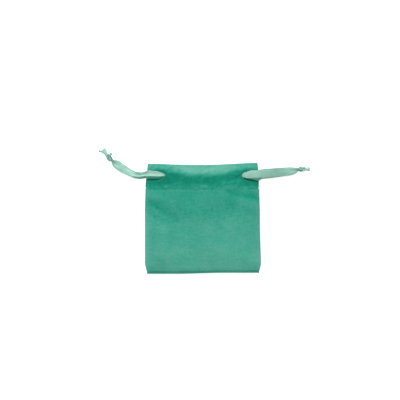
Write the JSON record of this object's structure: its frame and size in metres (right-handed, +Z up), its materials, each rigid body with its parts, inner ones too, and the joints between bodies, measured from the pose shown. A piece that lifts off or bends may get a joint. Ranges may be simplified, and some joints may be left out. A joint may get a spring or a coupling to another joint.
{
  "type": "drawstring gift pouch",
  "caption": "Small flat drawstring pouch of napped cloth with a folded hem, front and back slits, and a knotted ribbon pulling out at each side of the mouth.",
  "frame": {"origin": "under the middle of the pouch, on the surface that it lies on, ribbons not counted", "axes": "+X to the right across the front, +Y from the closed foot to the mouth, +Z up through the thickness, out of the front"},
  "size_m": [0.1479, 0.0873, 0.0092],
  "materials": {
    "pile_cloth": "matte sea-green cloth with a short brushed pile",
    "satin_ribbon": "pale mint satin",
    "sewing_thread": "spun sewing thread, a shade darker than the cloth"
  },
  "bodies": {
    "pouch": {"front_panel": "pile_cloth", "back_panel": "pile_cloth", "front_hem": "pile_cloth", "back_hem": "pile_cloth", "left_seam_thread": "sewing_thread", "right_seam_thread": "sewing_thread", "foot_seam_thread": "sewing_thread", "front_hem_thread": "sewing_thread", "back_hem_thread": "sewing_thread"},
    "left_corner": {"left_mouth_corner": "pile_cloth"},
    "right_corner": {"right_mouth_corner": "pile_cloth"},
    "left_ribbon": {"left_ribbon_loop": "satin_ribbon", "left_ribbon_front_end": "satin_ribbon", "left_ribbon_back_end": "satin_ribbon", "left_knot": "satin_ribbon", "left_tail_upper": "satin_ribbon", "left_tail_lower": "satin_ribbon"},
    "right_ribbon": {"right_ribbon_loop": "satin_ribbon", "right_ribbon_front_end": "satin_ribbon", "right_ribbon_back_end": "satin_ribbon", "right_knot": "satin_ribbon", "right_tail_upper": "satin_ribbon", "right_tail_lower": "satin_ribbon"}
  },
  "joints": [
    {"name": "left_ribbon_pull", "type": "slide", "parent": "pouch", "child": "left_ribbon", "axis": [-1, 0, 0], "range_m": [0, 0.02]},
    {"name": "right_ribbon_pull", "type": "slide", "parent": "pouch", "child": "right_ribbon", "axis": [1, 0, 0], "range_m": [0, 0.02]},
    {"name": "right_corner_gather", "type": "slide", "parent": "pouch", "child": "right_corner", "axis": [-1, 0, 0], "range_m": [0, 0.02], "deforming": ["front_hem", "back_hem"]},
    {"name": "left_corner_gather", "type": "slide", "parent": "pouch", "child": "left_corner", "axis": [1, 0, 0], "range_m": [0, 0.02], "deforming": ["front_hem", "back_hem"]}
  ],
  "couplings": [
    {"joint": "right_corner_gather", "follows": "left_ribbon_pull", "ratio": 1},
    {"joint": "left_corner_gather", "follows": "right_ribbon_pull", "ratio": 1}
  ]
}
